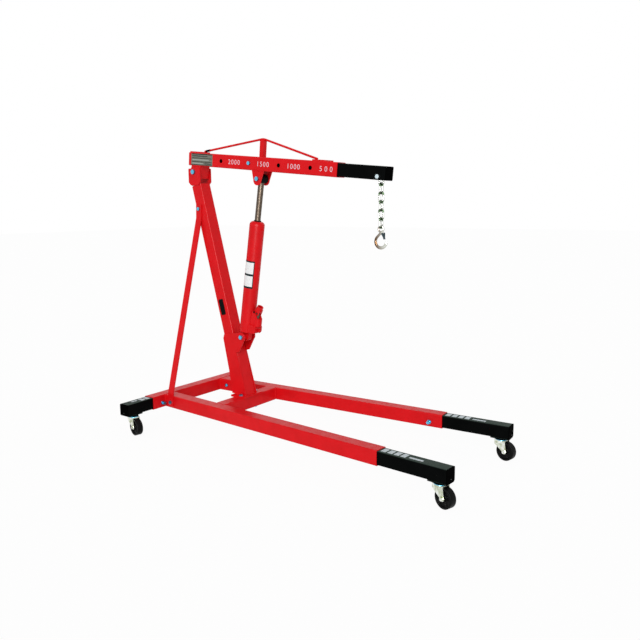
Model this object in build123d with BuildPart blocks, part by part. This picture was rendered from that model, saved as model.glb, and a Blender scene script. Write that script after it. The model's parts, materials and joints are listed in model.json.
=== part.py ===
from build123d import *
from math import cos, radians, sin, tan
import os

os.makedirs("parts", exist_ok=True)

# Frame: +X points forward along the legs, +Y to the crane's left, +Z up.
# The origin is on the floor, on the crane's middle plane, half way along it.
LEFT, RIGHT = 1, -1
SIDES = {"left": LEFT, "right": RIGHT}

# Square steel tube: the outer tubes are sleeves for the inner ones
TUBE = 70
SLIDER = 63
WALL = 3
TUBE_CORNER = 6
PLATE = 6
CAP = 4

# Casters
CASTER_HEIGHT = 110.5
FRONT_SETBACK = 47
REAR_SETBACK = 54
PIN_AHEAD = 7
CASTER_PLATE = 4
PLATE_LENGTH = 92
WHEEL_R = 45
WHEEL_WIDTH = 31
TRAIL = 28
RACE_R = 26
RACE_HEIGHT = 9
KING_PIN_R = 6
FORK_WALL = 3
FORK_HALF = 18
AXLE_R = 5
HUB_HALF = 17

# Base frame
BASE_Z = CASTER_HEIGHT - (TUBE - SLIDER) / 2
AXIS_Z = BASE_Z + TUBE / 2
BASE_TOP = BASE_Z + TUBE
BEAM_FRONT_X = -864
BEAM_X = BEAM_FRONT_X - TUBE / 2
BEAM_HALF = 335
CROSS_X = -478
LEG_OUTER_Y = 250
SPLAY = radians(3.55)
LEG_Y = LEG_OUTER_Y - TUBE / 2 / cos(SPLAY)
LEG_SLEEVE = 1438
LEG_REACH = 1776
LEG_SLIDER = 638
ARM_REACH = {LEFT: 450, RIGHT: 506}
ARM_SLIDER = 330
LOCK_Z = BASE_Z + 26
LEG_LOCK = 1372
ARM_LOCK_Y = 272

# Mast and its foot
MAST_WIDTH = 74
MAST_DEPTH = 70
MAST_LEAN = radians(14.53)
MAST_FOOT_X = -484
MAST_LENGTH = 1173.5
FOOT_PLATE = 10
FOOT_TOP = BASE_TOP + FOOT_PLATE
FOOT_LENGTH, FOOT_WIDTH = 98, 148
FOOT_MIDDLE_X = -480
FOOT_BOLT_X, FOOT_BOLT_Y = -469, 58
CHEEK_INNER = MAST_WIDTH / 2
CHEEK_OUTER = CHEEK_INNER + PLATE
CHEEK_OUTLINE = [
    (-443, FOOT_TOP), (-548, FOOT_TOP), (-566, 308), (-598, 462), (-604, 490), (-597, 511),
    (-470, 534), (-446, 500), (-488, 426), (-510, 420),
]
EAR_R = 26
HEAD_LEFT, HEAD_RIGHT = -828, -740
HEAD_BOTTOM, HEAD_TOP = 1322, 1412
HEAD_CORNER = 6
HEAD_CHAMFER = 16

# Braces from the mast down to the legs
BRACE_WIDTH = 40
BRACE_TOP_X, BRACE_TOP_Z = -759, 1194
BRACE_LOW_X, BRACE_LOW_Z = -810, 142
BRACE_TOP_FLAT = 50
BRACE_LOW_FLAT = 50
BRACE_END = 22

# Boom, measured along its own axis (u) and square to it (v) from its pivot
PIVOT_X, PIVOT_Z = -788, 1393.4
DROOP = radians(5.6)
BOOM_RAISE = 68.2
SLEEVE_BACK, SLEEVE_FRONT = -47, 946
HOLE_FIRST, HOLE_PITCH, HOLE_COUNT = 197, 197.5, 4
HOLE_R = 8
LUG_BACK, LUG_FRONT = -24, 44
LUG_R = 34
LUG_SLANT = 6
CLEVIS_U, CLEVIS_V = 455.8, -6
CLEVIS_BACK, CLEVIS_FRONT = 417, 496
CLEVIS_R, CLEVIS_LOW = 25, -14
EXTENSION_BACK, EXTENSION_FRONT = 352, 1211
HOOK_U, HOOK_V = 1169, 52.3
SLOT_LENGTH, SLOT_WIDTH = 50, 12
POST = 25
POST_TOP = 190
STAY_R = 5.5
STRIP = 6
REAR_STRIP = (-44, 50)
FRONT_STRIP = (794, 878)
STAY_PEAK = 193

# Ram, measured along its own axis (u) and forward of it (v) from its lower pivot
RAM_X, RAM_Z = -470, 508
RAM_ANGLE = radians(80.82)
RAM_R = 40
RAM_BOTTOM, RAM_TOP = 30, 627
RAM_CROWN = 20
TONGUE_R, TONGUE_HALF = 26, 15
ROD_R = 15.5
CYLINDER_R = 23
BORE_BOTTOM, BORE_TOP = 200, 600
PISTON_AT, PISTON_LENGTH = 330, 24
ROD_EYE_AT = 845.8
ROD_EYE_R = 23
ROD_EYE_HALF = 27
PLUG_AT = 590

# Pump on the front of the ram
PUMP_OUT = 67
PUMP_BOTTOM, PUMP_BLOCK_TOP, PUMP_TOP = 35, 80, 118
PUMP_BLOCK_HALF = 28
PUMP_CORNER = 14
PUMP_BARREL_R = 23
PLUNGER_R = 8
FULCRUM_UP, FULCRUM_OUT = 146, 52
FORK_INNER, FORK_OUTER = 15, 21
LEVER_INNER, LEVER_OUTER = 8.5, 14.5
LEVER_R = 12
PLUNGER_PIN_R = 4
SOCKET_R, SOCKET_BORE_R = 17, 13.5
SOCKET_LENGTH = 30
SOCKET_LEAN = radians(22)
VALVE_UP = 52
VALVE_R = 5

# Bolts and fits
PIVOT_BOLT = 16
RAM_BOLT = 14
FRAME_BOLT = 12
BOOM_BOLT = 12
LOCK_BOLT = 10
HEX = 0.866
HEAD = 0.6
RUNNING = 0.05
FREE = 0.4

# Chain and hook
WIRE_R = 4
LINK_INSIDE = 39
LINK_HALF_WIDTH = 15
LINKS = 6
CHAIN_GAP = 0.3
EYE_R, EYE_WIRE_R = 9, 4.2
HOOK_HALF = 6
BOWL_R, BOWL_DROP = 27, 53.5
BOWL_START, BOWL_TURN = 137, 235
SHANK_R, SHANK_LENGTH = 6, 28
LATCH_X, LATCH_DROP = 12, 21
LATCH_BOSS_R = 6.5
KNUCKLE = [(-8, -12), (10, -13), (16, -21), (8, -26), (-8, -26)]
LATCH_REACH = 26.5
LATCH_ANGLE = radians(-72)
LATCH_RIVET_R = 2.5

GROUND = Plane.XY
SIDE = Plane.XZ
BOOM = Plane(origin=(PIVOT_X, 0, PIVOT_Z), x_dir=(cos(DROOP), 0, -sin(DROOP)), z_dir=(0, -1, 0))
RAM = Plane(origin=(RAM_X, 0, RAM_Z), x_dir=(cos(RAM_ANGLE), 0, sin(RAM_ANGLE)), z_dir=(0, 1, 0))
MAST_UP = (-sin(MAST_LEAN), 0, cos(MAST_LEAN))


def save(piece, node):
    piece.part.label = node
    export_step(piece.part, f"parts/{node}.step")


def across(plane, u, v=0.0):
    """A plane square to a plane's own x direction, facing along it."""
    return Plane(origin=plane.from_local_coords((u, v, 0)), x_dir=(0, 1, 0), z_dir=plane.x_dir)


def seat(plane, u, v, out):
    """A plane parallel to another one, moved along it and off its surface."""
    return Plane(origin=plane.from_local_coords((u, v, out)), x_dir=plane.x_dir, z_dir=plane.z_dir)


def leg_plane(side, along, out=0.0, z=AXIS_Z):
    """A plane across a leg, facing forward; out moves it sideways from the leg's centre line."""
    turn = side * SPLAY
    x = BEAM_FRONT_X + along * cos(turn) - side * out * sin(turn)
    y = side * LEG_Y + along * sin(turn) + side * out * cos(turn)
    return Plane(origin=(x, y, z), x_dir=(-sin(turn), cos(turn), 0), z_dir=(cos(turn), sin(turn), 0))


def arm_plane(side, reach):
    """A plane across the rear beam, facing outward."""
    return Plane(origin=(BEAM_X, side * reach, AXIS_Z), x_dir=(1, 0, 0), z_dir=(0, side, 0))


def square_tube(section, width, depth, length):
    """A hollow tube that starts on a section plane and runs along its normal."""
    with BuildSketch(section) as ring:
        RectangleRounded(width, depth, TUBE_CORNER)
        RectangleRounded(width - 2 * WALL, depth - 2 * WALL, TUBE_CORNER - WALL, mode=Mode.SUBTRACT)
    extrude(ring.sketch, amount=length)


def square_plate(section, size, thickness):
    with BuildSketch(section) as face:
        RectangleRounded(size, size, TUBE_CORNER)
    extrude(face.sketch, amount=thickness)


def rod(base, radius, length, mode=Mode.ADD):
    with BuildSketch(base) as disc:
        Circle(radius)
    extrude(disc.sketch, amount=length, mode=mode)


def drill(base, radius, reach):
    """A round hole through everything near a plane, on both sides of it."""
    with BuildSketch(base) as disc:
        Circle(radius)
    extrude(disc.sketch, amount=reach, both=True, mode=Mode.SUBTRACT)


def twin_plates(profile, inner, outer):
    """Two equal plates from one side profile, between two distances from its plane."""
    extrude(profile, amount=outer, both=True)
    extrude(profile, amount=inner, both=True, mode=Mode.SUBTRACT)


def hexagon(base, size, height):
    with BuildSketch(base) as face:
        RegularPolygon(HEX * size, 6)
    extrude(face.sketch, amount=height)


def through_bolt(head_seat, size, grip):
    """A bolt with its head on a seat plane and its nut on the far side of the grip."""
    hexagon(head_seat, size, HEAD * size)
    rod(head_seat, size / 2, -grip)
    hexagon(head_seat.offset(-grip), size, -HEAD * size)
    rod(head_seat.offset(-grip - HEAD * size), size / 2, -size / 4)


def lock_screw(wall):
    """A screw in a welded nut that presses on the tube inside the sleeve."""
    hexagon(wall, 1.3 * LOCK_BOLT, HEAD * LOCK_BOLT)
    rod(wall.offset(-WALL - FREE), LOCK_BOLT / 2, 2 * LOCK_BOLT)
    hexagon(wall.offset(2 * LOCK_BOLT - WALL - FREE), LOCK_BOLT, HEAD * LOCK_BOLT)


def leg_wall(side, along, face):
    """A plane on a leg's side wall, facing away from the leg; face is 1 outside and -1 inside."""
    turn = side * SPLAY
    origin = leg_plane(side, along, face * TUBE / 2, LOCK_Z).origin
    return Plane(origin=origin, z_dir=(-face * side * sin(turn), face * side * cos(turn), 0))


# ---- base frame ----

beam_locks = [Plane(origin=(BEAM_FRONT_X, s * ARM_LOCK_Y, LOCK_Z), z_dir=(1, 0, 0)) for s in (LEFT, RIGHT)]
leg_locks = [leg_wall(s, LEG_LOCK, -1) for s in (LEFT, RIGHT)]

with BuildPart() as rear_beam:
    square_tube(arm_plane(LEFT, -BEAM_HALF), TUBE, TUBE, 2 * BEAM_HALF)
    for lock in beam_locks:
        drill(lock, LOCK_BOLT / 2 + FREE, 2 * WALL)
save(rear_beam, "rear_beam")

BRACE_TURN = (BRACE_TOP_X - BRACE_LOW_X) / (BRACE_TOP_Z - BRACE_LOW_Z)
brace_wedge = BRACE_WIDTH / 2 * tan(SPLAY) + FREE / 2
leg_face_y = LEG_OUTER_Y + (BRACE_LOW_X - BEAM_FRONT_X) * tan(SPLAY)
brace_low_y = leg_face_y + brace_wedge
leg_bolt_grip = brace_low_y + PLATE - (leg_face_y - TUBE / cos(SPLAY)) + 1

for name, side in SIDES.items():
    leg_seat = Plane(origin=(BRACE_LOW_X, side * (brace_low_y + PLATE), BRACE_LOW_Z), z_dir=(0, side, 0))
    with BuildPart() as leg:
        square_tube(leg_plane(side, -TUBE_CORNER), TUBE, TUBE, LEG_SLEEVE + TUBE_CORNER)
        split(bisect_by=Plane(origin=(BEAM_FRONT_X, 0, 0), z_dir=(1, 0, 0)), keep=Keep.TOP)
        drill(leg_seat, FRAME_BOLT / 2 + FREE, 2 * TUBE)
        drill(leg_wall(side, LEG_LOCK, -1), LOCK_BOLT / 2 + FREE, 2 * WALL)
    save(leg, f"leg_{name}")

with BuildPart() as front_crossbeam:
    beam_start = Plane(origin=(CROSS_X, -LEG_OUTER_Y, AXIS_Z), x_dir=(1, 0, 0), z_dir=(0, 1, 0))
    square_tube(beam_start, TUBE, TUBE, 2 * LEG_OUTER_Y)
    for side in (LEFT, RIGHT):
        split(bisect_by=leg_wall(side, 0, -1), keep=Keep.TOP)
        drill(Plane(origin=(FOOT_BOLT_X, side * FOOT_BOLT_Y, AXIS_Z)), FRAME_BOLT / 2 + FREE, TUBE)
save(front_crossbeam, "front_crossbeam")

with BuildPart() as mast:
    foot = Plane(origin=(MAST_FOOT_X, 0, FOOT_TOP), x_dir=(0, 1, 0), z_dir=MAST_UP)
    square_tube(foot.offset(-MAST_DEPTH / 2), MAST_WIDTH, MAST_DEPTH, MAST_LENGTH + MAST_DEPTH / 2)
    split(bisect_by=GROUND.offset(FOOT_TOP), keep=Keep.TOP)
    drill(seat(SIDE, BRACE_TOP_X, BRACE_TOP_Z, 0), FRAME_BOLT / 2 + FREE, MAST_WIDTH)
save(mast, "mast")

with BuildPart() as mast_foot:
    with BuildSketch(SIDE) as cheek:
        Polygon(*CHEEK_OUTLINE, align=None)
        with Locations((RAM_X, RAM_Z)):
            Circle(EAR_R)
    twin_plates(cheek.sketch, CHEEK_INNER, CHEEK_OUTER)
    with BuildSketch(GROUND.offset(BASE_TOP)) as base_plate:
        with Locations((FOOT_MIDDLE_X, 0)):
            Rectangle(FOOT_LENGTH, FOOT_WIDTH)
    extrude(base_plate.sketch, amount=FOOT_PLATE)
    drill(seat(SIDE, RAM_X, RAM_Z, 0), RAM_BOLT / 2 + FREE, 2 * CHEEK_OUTER)
    for side in (LEFT, RIGHT):
        drill(Plane(origin=(FOOT_BOLT_X, side * FOOT_BOLT_Y, BASE_TOP)), FRAME_BOLT / 2 + FREE, TUBE)
save(mast_foot, "mast_foot")

with BuildPart() as head_plates:
    with BuildSketch(SIDE) as ear:
        Polygon(
            (HEAD_LEFT, HEAD_BOTTOM), (HEAD_RIGHT, HEAD_BOTTOM),
            (HEAD_RIGHT, HEAD_TOP), (HEAD_LEFT, HEAD_TOP), align=None,
        )
        chamfer(ear.vertices().sort_by(Axis.Y)[:2], HEAD_CHAMFER)
        fillet(ear.vertices().sort_by(Axis.Y)[-2:], HEAD_CORNER)
    twin_plates(ear.sketch, CHEEK_INNER, CHEEK_OUTER)
    drill(seat(SIDE, PIVOT_X, PIVOT_Z, 0), PIVOT_BOLT / 2 + FREE, 2 * CHEEK_OUTER)
save(head_plates, "head_plates")

brace_span = (BRACE_TOP_Z - BRACE_LOW_Z) / cos(BRACE_TURN)
for name, side in SIDES.items():
    strip = Plane(
        origin=(BRACE_LOW_X, 0, BRACE_LOW_Z),
        x_dir=(0, side, 0), z_dir=(side * cos(BRACE_TURN), 0, -side * sin(BRACE_TURN)),
    )
    with BuildPart() as brace:
        with BuildSketch(strip) as bar:
            with BuildLine():
                Polyline(
                    (brace_low_y + PLATE / 2, -BRACE_END),
                    (brace_low_y + PLATE / 2, BRACE_LOW_FLAT),
                    (CHEEK_INNER + PLATE / 2, brace_span - BRACE_TOP_FLAT),
                    (CHEEK_INNER + PLATE / 2, brace_span + BRACE_END),
                )
                offset(amount=PLATE / 2, kind=Kind.INTERSECTION, side=Side.BOTH, closed=True)
            make_face()
        extrude(bar.sketch, amount=BRACE_WIDTH / 2, both=True)
        for x, z in ((BRACE_LOW_X, BRACE_LOW_Z), (BRACE_TOP_X, BRACE_TOP_Z)):
            drill(seat(SIDE, x, z, 0), FRAME_BOLT / 2 + FREE, LEG_OUTER_Y + TUBE)
    save(brace, f"brace_{name}")

with BuildPart() as frame_bolts:
    for side in (LEFT, RIGHT):
        plate_seat = Plane(origin=(FOOT_BOLT_X, side * FOOT_BOLT_Y, FOOT_TOP))
        through_bolt(plate_seat, FRAME_BOLT, FOOT_PLATE + TUBE)
        leg_seat = Plane(origin=(BRACE_LOW_X, side * (brace_low_y + PLATE), BRACE_LOW_Z), z_dir=(0, side, 0))
        through_bolt(leg_seat, FRAME_BOLT, leg_bolt_grip)
    through_bolt(seat(SIDE, BRACE_TOP_X, BRACE_TOP_Z, CHEEK_OUTER), FRAME_BOLT, 2 * CHEEK_OUTER)
save(frame_bolts, "frame_bolts")

with BuildPart() as boom_pivot_bolt:
    through_bolt(seat(SIDE, PIVOT_X, PIVOT_Z, CHEEK_OUTER), PIVOT_BOLT, 2 * CHEEK_OUTER)
save(boom_pivot_bolt, "boom_pivot_bolt")

with BuildPart() as ram_pivot_bolt:
    through_bolt(seat(SIDE, RAM_X, RAM_Z, CHEEK_OUTER), RAM_BOLT, 2 * CHEEK_OUTER)
save(ram_pivot_bolt, "ram_pivot_bolt")

with BuildPart() as lock_screws:
    for lock in beam_locks + leg_locks:
        lock_screw(lock)
save(lock_screws, "lock_screws")

# ---- sliding tubes of the base ----

for name, side in SIDES.items():
    with BuildPart() as leg_extension:
        square_tube(leg_plane(side, LEG_REACH - LEG_SLIDER), SLIDER, SLIDER, LEG_SLIDER - CAP)
    save(leg_extension, f"leg_extension_{name}")

    with BuildPart() as leg_cap:
        square_plate(leg_plane(side, LEG_REACH - CAP), SLIDER, CAP)
        rod(leg_plane(side, LEG_REACH, 0, AXIS_Z - SLIDER / 4), LOCK_BOLT / 4, 1)
    save(leg_cap, f"leg_cap_{name}")

    with BuildPart() as rear_arm:
        square_tube(arm_plane(side, ARM_REACH[side] - ARM_SLIDER), SLIDER, SLIDER, ARM_SLIDER - CAP)
    save(rear_arm, f"rear_arm_{name}")

    with BuildPart() as arm_cap:
        square_plate(arm_plane(side, ARM_REACH[side] - CAP), SLIDER, CAP)
    save(arm_cap, f"arm_cap_{name}")

# ---- casters ----


def king_pin(side, front):
    if front:
        origin = leg_plane(side, LEG_REACH - FRONT_SETBACK).origin
        return origin.X, origin.Y
    return BEAM_X + PIN_AHEAD, side * (ARM_REACH[side] - REAR_SETBACK)


CASTERS = {
    "front_right": (king_pin(RIGHT, True), 0, radians(-17), RIGHT * SPLAY),
    "front_left": (king_pin(LEFT, True), 0, radians(-11), LEFT * SPLAY),
    "rear_right": (king_pin(RIGHT, False), PIN_AHEAD, radians(-11), radians(90)),
    "rear_left": (king_pin(LEFT, False), PIN_AHEAD, radians(-11), radians(90)),
}
RACE_TOP = CASTER_HEIGHT - CASTER_PLATE
FORK_TOP = RACE_TOP - RACE_HEIGHT - FREE
PIN_HEAD = 4

for corner, ((pin_x, pin_y), ahead, turn, tube_turn) in CASTERS.items():
    tube_way = (cos(tube_turn), sin(tube_turn), 0)
    heading = (cos(turn), sin(turn), 0)
    upright = Plane(origin=(pin_x, pin_y, 0), x_dir=heading, z_dir=(sin(turn), -cos(turn), 0))
    wheel_axis = seat(upright, TRAIL, WHEEL_R, 0)

    with BuildPart() as caster_plate:
        with BuildSketch(Plane(origin=(pin_x - ahead, pin_y, RACE_TOP), x_dir=tube_way, z_dir=(0, 0, 1))):
            RectangleRounded(PLATE_LENGTH, SLIDER, TUBE_CORNER)
        extrude(amount=CASTER_PLATE)
        rod(Plane(origin=(pin_x, pin_y, RACE_TOP)), RACE_R, -RACE_HEIGHT)
        rod(Plane(origin=(pin_x, pin_y, RACE_TOP)), KING_PIN_R, FORK_TOP - FORK_WALL - FREE - PIN_HEAD - RACE_TOP)
        rod(Plane(origin=(pin_x, pin_y, FORK_TOP - FORK_WALL - FREE)), 1.6 * KING_PIN_R, -PIN_HEAD)
    save(caster_plate, f"caster_plate_{corner}")

    with BuildPart() as caster_fork:
        with BuildSketch(upright) as leg_profile:
            with BuildLine():
                Polyline((-RACE_R, FORK_TOP), (RACE_R + 4, FORK_TOP), (TRAIL + 11, WHEEL_R))
                ThreePointArc((TRAIL + 11, WHEEL_R), (TRAIL, WHEEL_R - 11), (TRAIL - 11, WHEEL_R))
                Polyline((TRAIL - 11, WHEEL_R), (-RACE_R, FORK_TOP - 20), (-RACE_R, FORK_TOP))
            make_face()
        twin_plates(leg_profile.sketch, FORK_HALF, FORK_HALF + FORK_WALL)
        with BuildSketch(upright) as web_profile:
            with Locations((2, FORK_TOP - FORK_WALL / 2)):
                Rectangle(2 * RACE_R + 4, FORK_WALL)
        extrude(web_profile.sketch, amount=FORK_HALF + FORK_WALL, both=True)
        drill(Plane(origin=(pin_x, pin_y, FORK_TOP)), KING_PIN_R + RUNNING, 2 * FORK_WALL)
        drill(wheel_axis, AXLE_R + FREE, 2 * FORK_HALF)
    save(caster_fork, f"caster_fork_{corner}")

    with BuildPart() as caster_axle:
        through_bolt(wheel_axis.offset(FORK_HALF + FORK_WALL), 2 * AXLE_R, 2 * (FORK_HALF + FORK_WALL))
    save(caster_axle, f"caster_axle_{corner}")

    with BuildPart() as caster_wheel:
        with BuildSketch(wheel_axis) as rim:
            Circle(WHEEL_R)
        extrude(rim.sketch, amount=WHEEL_WIDTH / 2, both=True)
        fillet(caster_wheel.edges(), 5)
        for face in (1, -1):
            with BuildSketch(wheel_axis.offset(face * WHEEL_WIDTH / 2)) as recess:
                Circle(WHEEL_R - 11)
                Circle(14, mode=Mode.SUBTRACT)
            extrude(recess.sketch, amount=-face * 6, mode=Mode.SUBTRACT)
        rod(wheel_axis.offset(-HUB_HALF), 11, 2 * HUB_HALF)
        drill(wheel_axis, AXLE_R + RUNNING, WHEEL_WIDTH)
    save(caster_wheel, f"caster_wheel_{corner}")

# ---- boom ----

with BuildPart() as boom_sleeve:
    square_tube(across(BOOM, SLEEVE_BACK, BOOM_RAISE), TUBE, TUBE, SLEEVE_FRONT - SLEEVE_BACK)
    for index in range(HOLE_COUNT):
        drill(seat(BOOM, HOLE_FIRST + index * HOLE_PITCH, BOOM_RAISE, 0), HOLE_R, TUBE)
save(boom_sleeve, "boom_sleeve")

SLEEVE_UNDER = BOOM_RAISE - TUBE / 2
SLEEVE_OVER = BOOM_RAISE + TUBE / 2

with BuildPart() as boom_lug:
    with BuildSketch(BOOM) as lug_side:
        with BuildLine():
            Polyline(
                (-LUG_R, 0), (LUG_BACK, SLEEVE_UNDER), (LUG_FRONT, SLEEVE_UNDER),
                (LUG_FRONT - LUG_SLANT, -LUG_R), (0, -LUG_R),
            )
            RadiusArc((0, -LUG_R), (-LUG_R, 0), LUG_R)
        make_face()
    twin_plates(lug_side.sketch, TUBE / 2 - PLATE, TUBE / 2)
    with BuildSketch(BOOM) as lug_front:
        Polygon(
            (LUG_FRONT, SLEEVE_UNDER), (LUG_FRONT - LUG_SLANT, -LUG_R),
            (LUG_FRONT - LUG_SLANT - PLATE, -LUG_R), (LUG_FRONT - PLATE, SLEEVE_UNDER), align=None,
        )
    extrude(lug_front.sketch, amount=TUBE / 2, both=True)
    drill(BOOM, PIVOT_BOLT / 2 + RUNNING, TUBE)
save(boom_lug, "boom_lug")

with BuildPart() as clevis_plates:
    with BuildSketch(BOOM) as clevis_side:
        with BuildLine():
            Polyline(
                (CLEVIS_U - CLEVIS_R, CLEVIS_LOW), (CLEVIS_BACK, SLEEVE_UNDER),
                (CLEVIS_FRONT, SLEEVE_UNDER), (CLEVIS_U + CLEVIS_R, CLEVIS_LOW),
            )
            ThreePointArc(
                (CLEVIS_U + CLEVIS_R, CLEVIS_LOW),
                (CLEVIS_U, CLEVIS_LOW - CLEVIS_R),
                (CLEVIS_U - CLEVIS_R, CLEVIS_LOW),
            )
        make_face()
    twin_plates(clevis_side.sketch, TUBE / 2 - PLATE, TUBE / 2)
    drill(seat(BOOM, CLEVIS_U, CLEVIS_V, 0), RAM_BOLT / 2 + FREE, TUBE)
save(clevis_plates, "clevis_plates")


def split_bolt(plane, u, v, size, outer, inner):
    """A cross bolt's two ends: each head or nut with the part of the shank that fills its wall."""
    for face in (1, -1):
        end = seat(plane, u, v, face * outer)
        hexagon(end, size, face * HEAD * size)
        rod(end, size / 2, -face * (outer - inner))


with BuildPart() as clevis_bolts:
    split_bolt(BOOM, CLEVIS_U, CLEVIS_V, RAM_BOLT, TUBE / 2, ROD_EYE_HALF + 1)
save(clevis_bolts, "clevis_bolts")

with BuildPart() as boom_lock_bolt:
    lock_u = HOLE_FIRST + HOLE_PITCH
    split_bolt(BOOM, lock_u, BOOM_RAISE, BOOM_BOLT, TUBE / 2, TUBE / 2 - WALL)
save(boom_lock_bolt, "boom_lock_bolt")

with BuildPart() as boom_stay:
    for start, end in (REAR_STRIP, FRONT_STRIP):
        with BuildSketch(BOOM) as strip_side:
            with Locations(((start + end) / 2, SLEEVE_OVER + STRIP / 2)):
                Rectangle(end - start, STRIP)
        extrude(strip_side.sketch, amount=TUBE / 2 - TUBE_CORNER, both=True)
    with BuildSketch(BOOM) as post_side:
        with Locations((CLEVIS_U, (SLEEVE_OVER + POST_TOP) / 2)):
            Rectangle(POST, POST_TOP - SLEEVE_OVER)
    extrude(post_side.sketch, amount=POST / 2, both=True)
    stay_low = SLEEVE_OVER + STRIP + STAY_R / 2
    with BuildLine(BOOM) as stay_path:
        FilletPolyline(
            (REAR_STRIP[1] - 10, stay_low), (CLEVIS_U, STAY_PEAK), (FRONT_STRIP[0] + 10, stay_low), radius=60
        )
    with BuildSketch(Plane(origin=stay_path.line @ 0, z_dir=stay_path.line % 0)) as stay_wire:
        Circle(STAY_R)
    sweep(stay_wire.sketch, path=stay_path.line)
save(boom_stay, "boom_stay")

with BuildPart() as boom_extension:
    square_tube(across(BOOM, EXTENSION_BACK, BOOM_RAISE), SLIDER, SLIDER, EXTENSION_FRONT - CAP - EXTENSION_BACK)
    drill(seat(BOOM, lock_u, BOOM_RAISE, 0), HOLE_R, TUBE)
    drill(seat(BOOM, HOOK_U, HOOK_V, 0), BOOM_BOLT / 2 + FREE, TUBE)
    slot_mid = BOOM.from_local_coords((HOOK_U, BOOM_RAISE - SLIDER / 2, 0))
    with BuildSketch(Plane(origin=slot_mid, x_dir=BOOM.x_dir, z_dir=BOOM.y_dir)) as slot:
        Rectangle(SLOT_LENGTH, SLOT_WIDTH)
    extrude(slot.sketch, amount=2 * WALL, both=True, mode=Mode.SUBTRACT)
save(boom_extension, "boom_extension")

with BuildPart() as boom_cap:
    square_plate(across(BOOM, EXTENSION_FRONT - CAP, BOOM_RAISE), SLIDER, CAP)
save(boom_cap, "boom_cap")

with BuildPart() as hook_bolt:
    through_bolt(seat(BOOM, HOOK_U, HOOK_V, SLIDER / 2), BOOM_BOLT, SLIDER)
save(hook_bolt, "hook_bolt")

# ---- chain, hook and latch ----

bolt_at = BOOM.from_local_coords((HOOK_U, HOOK_V, 0))
first_link_z = bolt_at.Z + BOOM_BOLT / 2 + CHAIN_GAP - LINK_INSIDE / 2
CHAIN_PITCH = LINK_INSIDE - CHAIN_GAP
LOOP_R = LINK_HALF_WIDTH - WIRE_R
LOOP_STRAIGHT = LINK_INSIDE / 2 + WIRE_R - LOOP_R

for index in range(LINKS):
    link_centre = (bolt_at.X, 0, first_link_z - index * CHAIN_PITCH)
    facing = (0, -1, 0) if index % 2 == 0 else (1, 0, 0)
    flat = (1, 0, 0) if index % 2 == 0 else (0, 1, 0)
    with BuildPart() as chain_link:
        with BuildLine(Plane(origin=link_centre, x_dir=flat, z_dir=facing)) as loop:
            Line((LOOP_R, -LOOP_STRAIGHT), (LOOP_R, LOOP_STRAIGHT))
            CenterArc((0, LOOP_STRAIGHT), LOOP_R, 0, 180)
            Line((-LOOP_R, LOOP_STRAIGHT), (-LOOP_R, -LOOP_STRAIGHT))
            CenterArc((0, -LOOP_STRAIGHT), LOOP_R, 180, 180)
        with BuildSketch(Plane(origin=loop.line @ 0, z_dir=loop.line % 0)) as wire:
            Circle(WIRE_R)
        sweep(wire.sketch, path=loop.line)
    save(chain_link, f"chain_link_{index + 1}")

last_wire_z = first_link_z - (LINKS - 1) * CHAIN_PITCH - LINK_INSIDE / 2 - WIRE_R
eye_z = last_wire_z + WIRE_R + CHAIN_GAP - EYE_R
HOOK = Plane(origin=(bolt_at.X, 0, eye_z), x_dir=(1, 0, 0), z_dir=(0, -1, 0))

bowl_turn = radians(BOWL_START)
bowl_joint = (BOWL_R * cos(bowl_turn), BOWL_R * sin(bowl_turn) - BOWL_DROP)
shank_top = (bowl_joint[0] + SHANK_LENGTH * sin(bowl_turn), bowl_joint[1] - SHANK_LENGTH * cos(bowl_turn))

with BuildPart() as hook:
    with BuildLine(HOOK) as shank_path:
        Line(shank_top, bowl_joint)
        CenterArc((0, -BOWL_DROP), BOWL_R, BOWL_START, BOWL_TURN)
    with BuildSketch(Plane(origin=shank_path.line @ 0, z_dir=shank_path.line % 0)) as shank_round:
        Circle(SHANK_R)
    sweep(shank_round.sketch, path=shank_path.line)
    with Locations(shank_path.line @ 1):
        Sphere(SHANK_R)
    with BuildSketch(HOOK) as knuckle:
        Polygon(*KNUCKLE, align=None)
        with Locations((LATCH_X, -LATCH_DROP)):
            Circle(LATCH_BOSS_R)
    extrude(knuckle.sketch, amount=HOOK_HALF, both=True)
    with BuildSketch(Plane(origin=HOOK.origin)) as eye_wire:
        with Locations((EYE_R + EYE_WIRE_R, 0)):
            Circle(EYE_WIRE_R)
    revolve(eye_wire.sketch, axis=Axis(HOOK.origin, HOOK.z_dir))
    drill(seat(HOOK, LATCH_X, -LATCH_DROP, 0), LATCH_RIVET_R + RUNNING, 2 * HOOK_HALF)
save(hook, "hook")

with BuildPart() as latch:
    LATCH = Plane(
        origin=HOOK.from_local_coords((LATCH_X, -LATCH_DROP, 0)),
        x_dir=(cos(LATCH_ANGLE), 0, sin(LATCH_ANGLE)), z_dir=(0, -1, 0),
    )
    with BuildSketch(LATCH) as latch_cheek:
        Circle(LATCH_BOSS_R - 1)
        Polygon((0, 6), (LATCH_REACH - 8, 0), (LATCH_REACH - 8, -2), (0, -6), align=None)
    twin_plates(latch_cheek.sketch, HOOK_HALF + FREE, HOOK_HALF + 2)
    with BuildSketch(LATCH) as latch_strip:
        with Locations((LATCH_REACH / 2 + 4, -1.3)):
            Rectangle(LATCH_REACH - 8, 2)
    extrude(latch_strip.sketch, amount=HOOK_HALF + 2, both=True)
    rod(seat(LATCH, 0, 0, -HOOK_HALF - 3), LATCH_RIVET_R, 2 * HOOK_HALF + 6)
save(latch, "latch")

# ---- ram and pump ----

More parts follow.
